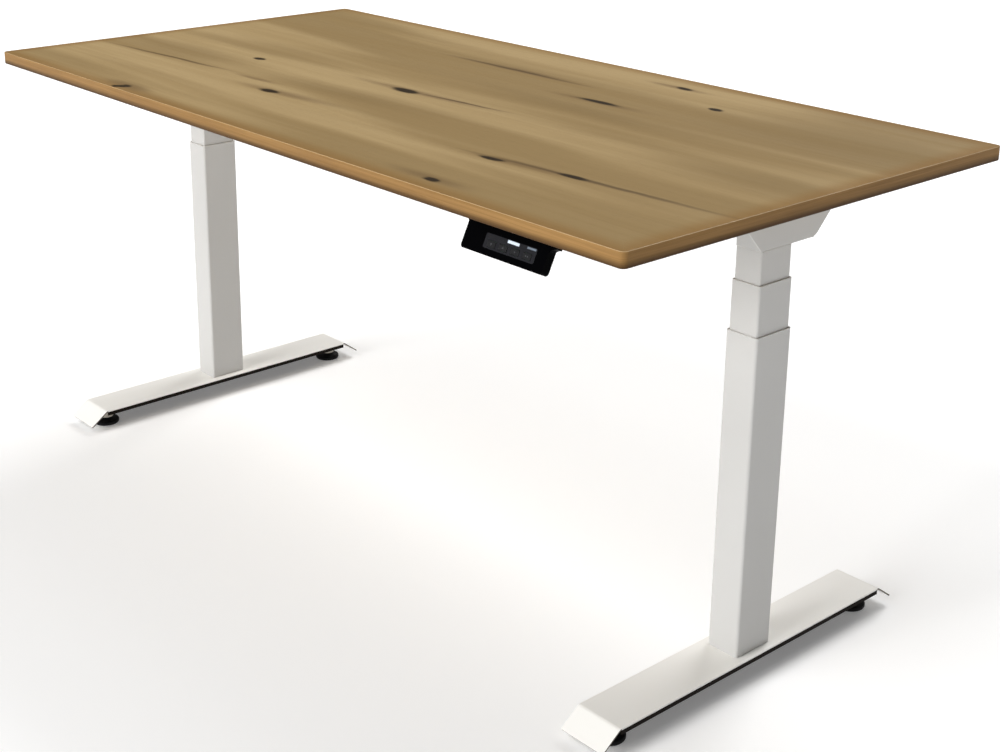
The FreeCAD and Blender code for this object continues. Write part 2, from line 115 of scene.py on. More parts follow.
world = bpy.data.worlds.new("studio")
world.use_nodes = True
sky = world.node_tree
sky_look = add_node(sky, "ShaderNodeTexCoord").outputs["Generated"]
sky_way = add_node(sky, "ShaderNodeSeparateXYZ", {0: sky_look})
sky_level = add_node(sky, "ShaderNodeMapRange", {"Value": sky_way.outputs["Z"], "From Min": 0.12,
                     "From Max": 0.40, "To Min": 0.35, "To Max": 0.10})
sky.nodes["Background"].inputs["Color"].default_value = (1.0, 0.99, 0.98, 1)
sky.links.new(sky_level.outputs["Result"], sky.nodes["Background"].inputs["Strength"])
scene.world = world


def soft_box(name, place, aim, size, power):
    """A square area light, turned from its place to face its aim."""
    data = bpy.data.lights.new(name, "AREA")
    data.shape = "SQUARE"
    data.size = size
    data.energy = power
    lamp = bpy.data.objects.new(name, data)
    lamp.location = place
    lamp.rotation_euler = (Vector(aim) - Vector(place)).to_track_quat("-Z", "Y").to_euler()
    scene.collection.objects.link(lamp)


soft_box("key_box", (0.0, -9.0, 3.3), (0, 0, 0.45), 4.0, 615)
soft_box("high_box", (-1.5, -6.5, 8.5), (0, 0, 0.3), 4.0, 330)
soft_box("back_box", (-1.5, 7.5, 8.8), (0, 0, 0.45), 5.0, 730)
soft_box("top_box", (-1.0, 1.0, 8.0), (0, 0, 0.5), 6.0, 125)

# The camera stands ahead of the right end of the desk, at the height of its raised top.
camera_place = (2.012, -1.699, 1.317)
camera_turn = 49.11
camera_down = 17.38
camera_roll = 0.33
camera_data = bpy.data.cameras.new("camera")
camera_data.sensor_width = 36
camera_data.lens = 57.89
camera_data.shift_x = 0.0396
camera_data.shift_y = -0.136
camera = bpy.data.objects.new("camera", camera_data)
camera.matrix_world = (Matrix.Translation(camera_place)
                       @ Matrix.Rotation(math.radians(camera_turn), 4, "Z")
                       @ Matrix.Rotation(math.radians(90 - camera_down), 4, "X")
                       @ Matrix.Rotation(math.radians(camera_roll), 4, "Z"))
scene.collection.objects.link(camera)
scene.camera = camera
scene.view_settings.view_transform = "Standard"

# ---- Feet ----------------------------------------------------------------
# Each foot is a flat strip of sheet steel, bent down into a ramp at both ends and powder
# coated white. A channel is welded under it, coloured near-black as painted shade under the
# foot's top, with a turned boss at each end that is threaded for a leveller.

sheet_thick = 0.0025
ramp_drop = 0.025
ramp_run = 0.034
bend_round = 0.003
foot_corner_round = 0.0025
foot_edge_round = 0.0005
channel_deep = 0.0075
channel_round = 0.0004


def surface(name, colour, other, roughness, metallic=0.0, cloud=6.0, bump=0.0, bump_scale=900.0,
            rough_spread=0.08, shine=0.5):
    """A clouded, lightly textured finish: two close colours, uneven gloss and a fine relief."""
    material, tree, shader = new_material(name, colour, roughness, metallic)
    shader.inputs["Specular IOR Level"].default_value = shine
    place = place_of(tree)
    patches = add_node(tree, "ShaderNodeTexNoise", {"Vector": place, "Scale": cloud, "Detail": 4.0})
    tone = blend_colour(tree, patches.outputs["Fac"], colour, other)
    tree.links.new(tone, shader.inputs["Base Color"])
    grit = add_node(tree, "ShaderNodeTexNoise", {"Vector": place, "Scale": bump_scale, "Detail": 2.0})
    gloss = add_node(tree, "ShaderNodeMapRange", {"Value": patches.outputs["Fac"],
                     "To Min": roughness - rough_spread, "To Max": roughness + rough_spread})
    tree.links.new(gloss.outputs["Result"], shader.inputs["Roughness"])
    if bump:
        relief = add_node(tree, "ShaderNodeBump", {"Height": grit.outputs["Fac"], "Strength": bump,
                                                   "Distance": 0.0002})
        tree.links.new(relief.outputs["Normal"], shader.inputs["Normal"])
    return material


# The feet's white is the columns' powder coat made brighter, as painted light on the foot tops.
painted_light_white = surface("painted_light_white", (0.91, 0.90, 0.865), (0.89, 0.88, 0.845), 0.5, bump=0.25,
                     bump_scale=700.0)
# The channel's warm near-black is painted shade under the foot's top.
channel_painted_shade = surface("channel_painted_shade", (0.007, 0.006, 0.005), (0.016, 0.011, 0.008), 0.6, bump=0.2,
                       shine=0.05)
# The dark grey-brown on the ramps' rims is painted shade.
ramp_edge_painted_shade = surface("ramp_edge_painted_shade", (0.085, 0.070, 0.055), (0.140, 0.115, 0.090), 0.6, cloud=40.0, bump=0.2)
boss_cream = surface("boss_cream", (0.62, 0.58, 0.50), (0.55, 0.51, 0.43), 0.45, bump=0.15)


def place_piece(mesh, name, materials, body, replaced):
    """Turns a bmesh into a finished piece that rides on a body and stands for CAD nodes, if any."""
    data = bpy.data.meshes.new(name)
    mesh.to_mesh(data)
    mesh.free()
    for material in materials:
        data.materials.append(material)
    piece = bpy.data.objects.new(name, data)
    scene.collection.objects.link(piece)
    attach(piece, body)
    if replaced:
        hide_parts(*replaced)
    even = piece.modifiers.new("even shading", "WEIGHTED_NORMAL")
    even.keep_sharp = True
    return piece


def smooth_shade(mesh, sharp=35.0):
    """Smooth faces, with a sharp edge kept wherever two faces meet at more than the angle."""
    for face in mesh.faces:
        face.smooth = True
    for edge in mesh.edges:
        edge.smooth = not edge.is_manifold or edge.calc_face_angle(0.0) < math.radians(sharp)


def bevel_edges(mesh, edges, width, segments):
    bmesh.ops.bevel(mesh, geom=edges, offset=width, segments=segments, profile=0.5,
                    affect="EDGES", material=-1, clamp_overlap=True)


def merged_copy(node):
    """The CAD node's mesh in one skin, with its flat faces whole."""
    mesh = bmesh.new()
    mesh.from_mesh(nodes[node].data)
    bmesh.ops.remove_doubles(mesh, verts=mesh.verts, dist=1e-6)
    bmesh.ops.dissolve_limit(mesh, angle_limit=math.radians(0.5), verts=mesh.verts,
                             edges=mesh.edges, delimit=set())
    return mesh


def softened_copy(node, width, sharp=35.0, segments=2):
    """The CAD node with its sharp edges rounded, as paint or a press tool leaves them."""
    mesh = merged_copy(node)
    edges = [e for e in mesh.edges if e.is_manifold and e.calc_face_angle(0.0) > math.radians(sharp)]
    bevel_edges(mesh, edges, width, segments)
    smooth_shade(mesh)
    return mesh


def corners_in(grown):
    """The corners among the parts that an extrusion has made."""
    return [part for part in grown["geom"] if isinstance(part, bmesh.types.BMVert)]


def sheet_wall(piece):
    """Gives a folded skin the thickness of its sheet, before its shading is evened."""
    wall = piece.modifiers.new("sheet", "SOLIDIFY")
    wall.thickness = sheet_thick
    wall.offset = -1
    wall.use_even_offset = True
    piece.modifiers.move(1, 0)
    return wall


for side in SIDES:
    low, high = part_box(f"foot_shell_{side}")
    profile = [(low.y, high.z - ramp_drop), (low.y + ramp_run, high.z),
               (high.y - ramp_run, high.z), (high.y, high.z - ramp_drop)]
    strip = bmesh.new()
    line = [strip.verts.new((low.x, y, z)) for y, z in profile]
    spans = [strip.edges.new(pair) for pair in zip(line, line[1:])]
    grown = bmesh.ops.extrude_edge_only(strip, edges=spans)
    bmesh.ops.translate(strip, verts=corners_in(grown), vec=(high.x - low.x, 0, 0))
    strip.normal_update()
    if strip.faces[:][1].normal.z < 0:
        bmesh.ops.reverse_faces(strip, faces=strip.faces)
    tips = [v for v in strip.verts if v.co.z < high.z - 0.01]
    bmesh.ops.bevel(strip, geom=tips, offset=foot_corner_round, segments=4, profile=0.5,
                    affect="VERTICES", material=-1)
    bends = [e for e in strip.edges if abs(e.verts[0].co.x - e.verts[1].co.x) > 0.05
             and abs(e.verts[0].co.z - high.z) < 1e-5]
    bevel_edges(strip, bends, bend_round, 6)
    smooth_shade(strip)
    # The rims of the ramps and bends take a dark grey-brown as painted shade, and the rims along the flat
    # stay white.
    for face in strip.faces:
        face.material_index = 2 if face.normal.z > 0.999 else 0
    foot = place_piece(strip, f"foot_{side}", [painted_light_white, ramp_edge_painted_shade, painted_light_white], f"{side}_foot_column",
                       [f"foot_shell_{side}"])
    sheet_wall(foot).material_offset_rim = 1
    soft = foot.modifiers.new("edge", "BEVEL")
    soft.width = foot_edge_round
    soft.segments = 2
    soft.limit_method = "ANGLE"
    soft.angle_limit = math.radians(50)
    foot.modifiers.move(2, 1)

    channel_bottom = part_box(f"foot_stiffener_{side}")[1].z - channel_deep
    channel = softened_copy(f"foot_stiffener_{side}", channel_round)
    for face in channel.faces:
        if face.calc_center_median().z < channel_bottom - 0.0001:
            face.material_index = 1
    place_piece(channel, f"foot_channel_{side}", [channel_painted_shade, boss_cream],
                f"{side}_foot_column", [f"foot_stiffener_{side}"])

# ---- Levellers -----------------------------------------------------------
# Four screw-in levellers. Each is a moulded black pad with a rolled rim and a low collar,
# on a zinc plated stud whose thread runs up into the foot's boss.

stud_radius = 0.005
thread_pitch = 0.0015
thread_root = stud_radius - 0.0006
pad_black = surface("pad_black", (0.005, 0.005, 0.0055), (0.009, 0.009, 0.010), 0.55, bump=0.4,
                    bump_scale=500.0, shine=0.15)
zinc_plate = surface("zinc_plate", (0.62, 0.63, 0.65), (0.50, 0.51, 0.53), 0.35, metallic=1.0,
                     cloud=60.0, bump=0.1)


def turned(profile, place, steps=40):
    """A lathe-turned shape: the (radius, height) line is spun once about the upright axis."""
    mesh = bmesh.new()
    line = [mesh.verts.new((radius, 0, height)) for radius, height in profile]
    spans = [mesh.edges.new(pair) for pair in zip(line, line[1:])]
    bmesh.ops.spin(mesh, geom=line + spans, cent=(0, 0, 0), axis=(0, 0, 1),
                   angle=math.tau, steps=steps, use_merge=True)
    bmesh.ops.remove_doubles(mesh, verts=mesh.verts, dist=1e-6)
    bmesh.ops.holes_fill(mesh, edges=[e for e in mesh.edges if e.is_boundary], sides=0)
    bmesh.ops.recalc_face_normals(mesh, faces=mesh.faces)
    bmesh.ops.translate(mesh, verts=mesh.verts, vec=place)
    return mesh


def join_mesh(mesh, other):
    """Adds another mesh's faces to this one."""
    data = bpy.data.meshes.new("joined")
    other.to_mesh(data)
    other.free()
    mesh.from_mesh(data)
    bpy.data.meshes.remove(data)


for side in SIDES:
    for end in ("front", "rear"):
        node = f"leveller_{end}_{side}"
        low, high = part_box(node)
        reach = (high.x - low.x) / 2
        tall = high.z - low.z
        pad = [(0.0, 0.0), (reach - 0.003, 0.0), (reach - 0.001, 0.0008), (reach, 0.0025),
               (reach, 0.0060), (reach - 0.001, 0.0078), (reach - 0.0035, 0.0086),
               (reach - 0.010, 0.0090), (0.0095, 0.0094), (0.0085, 0.0100), (0.0, 0.0100)]
        stud = [(0.0, 0.0101), (thread_root, 0.0101)]
        while stud[-1][1] < tall - 2 * thread_pitch:
            top = stud[-1][1]
            stud.append((stud_radius, top + 0.5 * thread_pitch))
            stud.append((thread_root, top + thread_pitch))
        stud += [(stud_radius - 0.001, tall), (0.0, tall)]
        centre = ((low.x + high.x) / 2, (low.y + high.y) / 2, low.z)
        moulded = turned(pad, centre)
        smooth_shade(moulded, 50)
        plated = turned(stud, centre, 24)
        for face in plated.faces:
            face.material_index = 1
        join_mesh(moulded, plated)
        place_piece(moulded, node + "_turned", [pad_black, zinc_plate], node, [node])

# ---- Foot bolts ----------------------------------------------------------
# Four zinc plated bolts under each foot hold the column's end plate. Their heads are
# rounded and have a round socket for the key.

bolt_head = 0.007
bolt_socket = 0.0035
bolt_socket_deep = 0.003
head_round = 0.0003


def with_sockets(node, out, head, socket, deep):
    """A copy of a group of fasteners with a socket sunk in each head's face, which looks out."""
    mesh = merged_copy(node)
    disc = math.pi * head ** 2
    faces = [f for f in mesh.faces if f.normal.dot(Vector(out)) > 0.99
             and abs(f.calc_area() - disc) < 0.25 * disc]
    rims = [e for f in faces for e in f.edges]
    bevel_edges(mesh, rims, head_round, 2)
    heads = [f for f in mesh.faces if f.normal.dot(Vector(out)) > 0.999
             and 0.5 * disc < f.calc_area() < 1.1 * disc and len(f.verts) > 6]
    for face in heads:
        bmesh.ops.inset_individual(mesh, faces=[face], thickness=head - head_round - socket,
                                   use_even_offset=True)
        bmesh.ops.inset_individual(mesh, faces=[face], thickness=0.0, depth=-deep)
    smooth_shade(mesh)
    return mesh


for side in SIDES:
    bolts = with_sockets(f"foot_bolts_{side}", (0, 0, -1), bolt_head, bolt_socket, bolt_socket_deep)
    place_piece(bolts, f"foot_bolts_{side}_socketed", [zinc_plate], f"{side}_foot_column",
                [f"foot_bolts_{side}"])

# ---- Columns -------------------------------------------------------------
# Each column is three welded steel tubes, one inside the other, powder coated white, with
# eased cut ends whose upward faces take the brighter white as painted light. Plastic strips
# guide the tubes, and the nuts and bare steel screws inside drive the stages.

powder_white = surface("powder_white", (0.565, 0.560, 0.545), (0.545, 0.540, 0.525), 0.5, bump=0.25,
                       bump_scale=700.0)
tube_end_round = 0.0009
stage_bodies = {"outer_tube": "{}_foot_column", "middle_tube": "{}_middle_stage",
                "inner_tube": "desktop_frame"}
for side in SIDES:
    for node, body in stage_bodies.items():
        tube = softened_copy(f"{node}_{side}", tube_end_round, segments=3)
        # The upward faces of the tube ends take the brighter white as painted light against the shade
        # under the desktop.
        for face in tube.faces:
            if face.normal.z > 0.3:
                face.material_index = 1
        place_piece(tube, f"{node}_{side}_painted", [powder_white, painted_light_white], body.format(side),
                    [f"{node}_{side}"])


def dress(node, material):
    """A CAD node whose shape is right keeps it and takes a better finish."""
    data = nodes[node].data
    data.materials.clear()
    data.materials.append(material)


glide_rise = 0.0026
glide_round = 0.0001
glide_white = surface("glide_white", (0.90, 0.89, 0.86), (0.86, 0.85, 0.82), 0.35, bump=0.1)
nut_cream = surface("nut_cream", (0.58, 0.54, 0.44), (0.52, 0.48, 0.39), 0.4, bump=0.15)
bare_steel, steel_tree, steel_shader = new_material("bare_steel", (0.42, 0.42, 0.43), 0.3, 1.0)
steel_rings = add_node(steel_tree, "ShaderNodeTexWave", {"Vector": place_of(steel_tree), "Scale": 20.0,
                       "Distortion": 0.4, "Detail": 2.0}, bands_direction="Z")
steel_tone = blend_colour(steel_tree, steel_rings.outputs["Fac"], (0.36, 0.36, 0.37), (0.48, 0.48, 0.49))
steel_tree.links.new(steel_tone, steel_shader.inputs["Base Color"])
steel_relief = add_node(steel_tree, "ShaderNodeBump", {"Height": steel_rings.outputs["Fac"],
                        "Strength": 0.5, "Distance": 0.0005})
steel_tree.links.new(steel_relief.outputs["Normal"], steel_shader.inputs["Normal"])

for side in SIDES:
    for stage in ("outer", "middle", "inner"):
        node = f"{stage}_glides_{side}"
        strips = softened_copy(node, glide_round)
        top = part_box(node)[1].z
        rim = [v for v in strips.verts if v.co.z > top - glide_rise / 4]
        if stage != "inner":
            bmesh.ops.translate(strips, verts=rim, vec=(0, 0, glide_rise))
        place_piece(strips, node + "_moulded", [glide_white], stage_bodies[f"{stage}_tube"].format(side),
                    [node])
    for node in ("base_nut", "stage_nut"):
        dress(f"{node}_{side}", nut_cream)
    for node in ("support_tube", "push_tube", "stage_plate", "hollow_screw", "lead_screw"):
        dress(f"{node}_{side}", bare_steel)

# ---- Motor brackets ------------------------------------------------------
# A folded sheet housing on top of each inner tube holds the gearbox, flush with the tube.
# Its rear end slopes out to the side arm, its folds are rounded, and a wing of its outer
# cheek reaches forward under the arm.

bracket_base_back = 0.083
bracket_corner = 0.007
bracket_lip = 0.009
fold_round = 0.0012
wing_lap = 0.003
wing_proud = 0.00005
wing_edge = 0.0006


def push_out(mesh, face, way):
    """Grows a flat face into a plate by moving a copy of it along the way."""
    grown = bmesh.ops.extrude_face_region(mesh, geom=[face])
    bmesh.ops.translate(mesh, verts=corners_in(grown), vec=way)


for side, out in (("left", -1), ("right", 1)):
    low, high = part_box(f"motor_bracket_{side}")
    tube_low, tube_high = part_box(f"inner_tube_{side}")
    axis_y = (tube_low.y + tube_high.y) / 2
    outline = [(tube_low.y, low.z), (axis_y + bracket_base_back, low.z),
               (high.y, high.z), (tube_low.y, high.z)]
    housing = bmesh.new()
    cheek = housing.faces.new([housing.verts.new((low.x, y, z)) for y, z in outline])
    feet = [v for v in cheek.verts if v.co.z < high.z - 0.01]
    bmesh.ops.bevel(housing, geom=feet[1:] if feet[0].co.y < feet[1].co.y else feet[:1],
                    offset=bracket_corner, segments=6, profile=0.5, affect="VERTICES", material=-1)
    push_out(housing, housing.faces[:][0], (high.x - low.x, 0, 0))
    bmesh.ops.recalc_face_normals(housing, faces=housing.faces)
    roof = [f for f in housing.faces if f.normal.z > 0.99]
    bmesh.ops.delete(housing, geom=roof, context="FACES_ONLY")
    floors = [f for f in housing.faces if f.normal.z < -0.99]
    bmesh.ops.inset_individual(housing, faces=floors, thickness=bracket_lip, use_even_offset=True)
    bmesh.ops.delete(housing, geom=floors, context="FACES_ONLY")
    folds = [e for e in housing.edges if e.is_manifold
             and abs(abs(e.link_faces[0].normal.x) - abs(e.link_faces[1].normal.x)) > 0.9]
    bevel_edges(housing, folds, fold_round, 4)
    smooth_shade(housing, 30)
    sheet_wall(place_piece(housing, f"motor_bracket_{side}_folded", [powder_white], "desktop_frame",
                           [f"motor_bracket_{side}"]))

    outline = [(tube_low.y + wing_lap, low.z), (tube_low.y, low.z), (low.y, high.z),
               (tube_low.y + wing_lap, high.z)]
    outer_x = high.x + wing_proud if out > 0 else low.x - wing_proud
    wing = bmesh.new()
    plate = wing.faces.new([wing.verts.new((outer_x, y, z)) for y, z in outline])
    push_out(wing, plate, (-out * sheet_thick, 0, 0))
    bmesh.ops.recalc_face_normals(wing, faces=wing.faces)
    bevel_edges(wing, wing.edges[:], wing_edge, 2)
    smooth_shade(wing, 30)
    place_piece(wing, f"bracket_wing_{side}", [powder_white], "desktop_frame", [])

# ---- Side arms and crossbeams --------------------------------------------
# An inverted channel on each bracket carries the desktop, and two rectangular tubes join
# the arms. They are powder coated white, and round headed screws hold the tubes.

arm_round = 0.0009
beam_round = 0.0012
beam_screw_head = 0.005
beam_socket = 0.0025
beam_socket_deep = 0.002

for side in SIDES:
    arm = softened_copy(f"side_arm_{side}", arm_round, segments=3)
    place_piece(arm, f"side_arm_{side}_folded", [powder_white], "desktop_frame",
                [f"side_arm_{side}"])
beams = softened_copy("crossbeams", beam_round, segments=3)
place_piece(beams, "crossbeams_painted", [powder_white], "desktop_frame", ["crossbeams"])
beam_screws = with_sockets("beam_screws", (1, 0, 0), beam_screw_head, beam_socket, beam_socket_deep)
place_piece(beam_screws, "beam_screws_socketed", [zinc_plate], "desktop_frame", ["beam_screws"])

# ---- Gear drives ---------------------------------------------------------
# A die-cast gearbox sits in each bracket. Its motor is a rolled steel can with a crimped
# end cap, painted black, pointing to the middle of the desk.

cast_grey = surface("cast_grey", (0.30, 0.31, 0.32), (0.24, 0.25, 0.26), 0.55, metallic=0.6,
                    cloud=40.0, bump=0.6, bump_scale=400.0)
motor_paint = surface("motor_paint", (0.022, 0.022, 0.024), (0.035, 0.035, 0.037), 0.38, bump=0.25)

cast_round = 0.0015
neck = 0.0101
neck_long = 0.0027

for side, way in (("left", 1), ("right", -1)):
    case = softened_copy(f"gearbox_{side}", cast_round, segments=3)
    place_piece(case, f"gearbox_{side}_cast", [cast_grey], "desktop_frame", [f"gearbox_{side}"])
    low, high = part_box(f"gear_motor_{side}")
    across = (high.y - low.y) / 2
    long = high.x - low.x
    can = [(0.0, 0.0), (neck, 0.0), (neck, neck_long), (across - 0.0025, neck_long),
           (across - 0.001, neck_long + 0.0005), (across, neck_long + 0.002),
           (across, neck_long + 0.012), (across - 0.0008, neck_long + 0.0125),
           (across - 0.0008, neck_long + 0.0145), (across, neck_long + 0.015), (across, long - 0.016),
           (across - 0.0010, long - 0.0155), (across - 0.0010, long - 0.0135),
           (across, long - 0.013), (across, long - 0.004), (across - 0.0012, long - 0.0012),
           (across - 0.004, long), (across - 0.006, long), (across - 0.0065, long - 0.0015),
           (0.009, long - 0.0015), (0.0082, long - 0.0004), (0.0, long - 0.0004)]
    motor = turned(can, (0, 0, 0), 48)
    smooth_shade(motor, 30)
    root_x = high.x if way < 0 else low.x
    root_place = Matrix.Translation((root_x, (low.y + high.y) / 2, (low.z + high.z) / 2))
    turn = Matrix.Rotation(math.radians(90 * way), 4, "Y")
    bmesh.ops.transform(motor, matrix=root_place @ turn, verts=motor.verts)
    place_piece(motor, f"gear_motor_{side}_can", [motor_paint], "desktop_frame",
                [f"gear_motor_{side}"])

# ---- Desktop -------------------------------------------------------------
# A 22 mm board faced with an oak printed decor, its grain running the length of the desk,
# and a 2 mm band of the same oak glued round its edge with the arrises rounded.

board_corner = 0.007
top_arris = 0.0012
low_arris = 0.0018
board_low, board_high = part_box("desktop_board")
band_low, band_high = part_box("edge_band")
oak_light = (0.425, 0.304, 0.148)
oak_dark = (0.250, 0.167, 0.068)
border_wide = 0.038

oak_decor, oak_tree, oak_shader = new_material("oak_decor", oak_light, 0.55)
oak_shader.inputs["Specular IOR Level"].default_value = 0.07
oak_place = place_of(oak_tree)


def maths(tree, operation, first, second=0.0):
    return add_node(tree, "ShaderNodeMath", {0: first, 1: second}, operation=operation).outputs[0]


def stretched(tree, place, scale):
    return add_node(tree, "ShaderNodeMapping", {"Vector": place, "Scale": scale}).outputs["Vector"]


def noise(tree, place, scale, detail=3.0, rough=0.5):
    """Even noise whose patches repeat so many times a metre along x, y and z."""
    return add_node(tree, "ShaderNodeTexNoise", {"Vector": stretched(tree, place, scale), "Scale": 1.0,
                    "Detail": detail, "Roughness": rough}).outputs["Fac"]


def ramp(tree, value, low, high, to_low=0.0, to_high=1.0, kind="SMOOTHSTEP"):
    """Turns a value between low and high into one between 0 and 1, or two other ends."""
    return add_node(tree, "ShaderNodeMapRange", {"Value": value, "From Min": low, "From Max": high,
                    "To Min": to_low, "To Max": to_high}, interpolation_type=kind).outputs["Result"]


def mark(tree, place, x, y, long, wide, turn=0.0):
    """A soft elliptical mark in the wood at x and y, 1 at its middle and 0 at its rim. Its half
    length and half width are in metres, and it is turned by degrees."""
    local = add_node(tree, "ShaderNodeMapping", {"Vector": place, "Location": (x, y, 0),
                     "Rotation": (0, 0, math.radians(turn)), "Scale": (long, wide, 1.0)},
                     vector_type="TEXTURE").outputs["Vector"]
    flat = add_node(tree, "ShaderNodeVectorMath", {0: local, 1: (1, 1, 0)}, operation="MULTIPLY")
    reach = add_node(tree, "ShaderNodeVectorMath", {0: flat.outputs[0]}, operation="LENGTH")
    return ramp(tree, reach.outputs["Value"], 1.0, 0.0, kind="SMOOTHERSTEP")


def total(tree, values):
    """The sum of several marks, which stops at 1 where they overlap."""
    whole = values[0]
    for value in values[1:]:
        whole = maths(tree, "ADD", whole, value)
    return maths(tree, "MINIMUM", whole, 1.0)


# The grain wanders a little, slowly along the board and quickly across it.
wander = maths(oak_tree, "SUBTRACT", noise(oak_tree, oak_place, (1.3, 4.5, 4.5), 2.0), 0.5)
tremble = maths(oak_tree, "SUBTRACT", noise(oak_tree, oak_place, (6.0, 22.0, 22.0), 2.0), 0.5)
shift = maths(oak_tree, "ADD", maths(oak_tree, "MULTIPLY", wander, 0.055),
              maths(oak_tree, "MULTIPLY", tremble, 0.008))
oak_parts = add_node(oak_tree, "ShaderNodeSeparateXYZ", {0: oak_place})
grain_y = maths(oak_tree, "ADD", oak_parts.outputs["Y"], shift)
grain = add_node(oak_tree, "ShaderNodeCombineXYZ", {"X": oak_parts.outputs["X"], "Y": grain_y,
                 "Z": oak_parts.outputs["Z"]}).outputs[0]

broad = ramp(oak_tree, noise(oak_tree, grain, (0.75, 7.5, 1.0), 2.0), 0.40, 0.60)
lanes = ramp(oak_tree, noise(oak_tree, grain, (1.0, 22.0, 1.0)), 0.38, 0.66)
fibres = ramp(oak_tree, noise(oak_tree, grain, (4.0, 150.0, 1.0), 4.0, 0.6), 0.30, 0.75)
pores = ramp(oak_tree, noise(oak_tree, grain, (45.0, 1300.0, 1.0), 1.0), 0.64, 0.74)

# The marks in the wood have torn outlines.
torn_place = stretched(oak_tree, oak_place, (9.0, 30.0, 1.0))
torn_by = add_node(oak_tree, "ShaderNodeTexNoise", {"Vector": torn_place, "Scale": 1.0,
                   "Detail": 3.0}).outputs["Color"]
torn_by = add_node(oak_tree, "ShaderNodeVectorMath", {0: torn_by, 1: (0.5, 0.5, 0.5)},
                   operation="SUBTRACT").outputs[0]
torn_by = add_node(oak_tree, "ShaderNodeVectorMath", {0: torn_by, 1: (0.05, 0.010, 0.0)},
                   operation="MULTIPLY").outputs[0]
torn = add_node(oak_tree, "ShaderNodeVectorMath", {0: oak_place, 1: torn_by},
                operation="ADD").outputs[0]

knots = total(oak_tree, [
    mark(oak_tree, torn, -0.384, -0.384, 0.020, 0.026),
    mark(oak_tree, torn, -0.194, -0.213, 0.046, 0.017),
    mark(oak_tree, torn, -0.051, -0.035, 0.050, 0.019),
    mark(oak_tree, torn, -0.439, -0.068, 0.024, 0.014),
    mark(oak_tree, torn, 0.237, 0.338, 0.030, 0.015),
    mark(oak_tree, torn, 0.377, 0.254, 0.024, 0.013),
    mark(oak_tree, torn, 0.410, -0.365, 0.030, 0.013),
    mark(oak_tree, torn, 0.219, 0.152, 0.080, 0.014, 1.0),
    mark(oak_tree, torn, 0.380, -0.228, 0.050, 0.011, 3.0),
    mark(oak_tree, torn, 0.525, -0.210, 0.050, 0.012, 3.0),
])
streaks = total(oak_tree, [
    mark(oak_tree, torn, -0.155, -0.206, 0.200, 0.022, 4.0),
    mark(oak_tree, torn, -0.022, -0.030, 0.260, 0.020, 2.0),
    mark(oak_tree, torn, 0.215, 0.150, 0.170, 0.018, 1.0),
    mark(oak_tree, torn, 0.225, 0.337, 0.100, 0.016),
    mark(oak_tree, torn, -0.290, -0.174, 0.090, 0.013, 3.0),
    mark(oak_tree, torn, -0.384, -0.372, 0.110, 0.030),
    mark(oak_tree, torn, 0.400, -0.360, 0.140, 0.020),
    mark(oak_tree, torn, 0.440, -0.220, 0.180, 0.020, 5.0),
    mark(oak_tree, torn, -0.040, 0.228, 0.220, 0.020),
])
hairlines = total(oak_tree, [
    mark(oak_tree, torn, 0.560, -0.208, 0.360, 0.008, 4.0),
    mark(oak_tree, torn, -0.560, -0.184, 0.300, 0.008, 4.0),
    mark(oak_tree, torn, -0.065, 0.226, 0.260, 0.009),
    mark(oak_tree, torn, 0.080, -0.022, 0.160, 0.007, 5.0),
])
# Broad lens-shaped darker zones run with the grain, three of them at the right end.
dark_zones = total(oak_tree, [
    mark(oak_tree, torn, 0.650, 0.250, 0.420, 0.190, 2.0),
    mark(oak_tree, torn, 0.680, 0.370, 0.320, 0.090, 1.0),
    mark(oak_tree, torn, 0.700, -0.040, 0.300, 0.080, 3.0),
    mark(oak_tree, torn, -0.120, -0.130, 0.380, 0.060, 4.0),
    mark(oak_tree, torn, -0.600, -0.130, 0.380, 0.080, 2.0),
    mark(oak_tree, torn, 0.180, 0.080, 0.420, 0.065, 2.0),
])
# The glue line and the pressed edge leave the outermost centimetres warmer and darker.
from_end = maths(oak_tree, "SUBTRACT", board_high.x, maths(oak_tree, "ABSOLUTE", oak_parts.outputs["X"]))
from_side = maths(oak_tree, "SUBTRACT", board_high.y, maths(oak_tree, "ABSOLUTE", oak_parts.outputs["Y"]))
border = ramp(oak_tree, maths(oak_tree, "MINIMUM", from_end, from_side), border_wide, 0.0)

tone = oak_light
for cover, strength, colour in ((broad, 0.75, oak_dark),
                                (dark_zones, 0.60, (0.220, 0.147, 0.060)),
                                (lanes, 0.22, (0.230, 0.150, 0.058)),
                                (fibres, 0.12, (0.20, 0.13, 0.05)),
                                (pores, 0.25, (0.13, 0.085, 0.042)),
                                (border, 0.65, (0.235, 0.122, 0.030)),
                                (streaks, 0.62, (0.150, 0.092, 0.040)),
                                (hairlines, 0.80, (0.085, 0.052, 0.024)),
                                (ramp(oak_tree, knots, 0.05, 0.75), 1.0, (0.028, 0.017, 0.007))):
    tone = blend_colour(oak_tree, maths(oak_tree, "MULTIPLY", cover, strength), tone, colour)
oak_tree.links.new(tone, oak_shader.inputs["Base Color"])
oak_gloss = ramp(oak_tree, lanes, 0.0, 1.0, 0.50, 0.62, "LINEAR")
oak_tree.links.new(oak_gloss, oak_shader.inputs["Roughness"])
oak_height = maths(oak_tree, "SUBTRACT", maths(oak_tree, "MULTIPLY", fibres, -0.25), pores)
oak_relief = add_node(oak_tree, "ShaderNodeBump", {"Height": oak_height, "Strength": 0.35,
                      "Distance": 0.00012})
oak_tree.links.new(oak_relief.outputs["Normal"], oak_shader.inputs["Normal"])

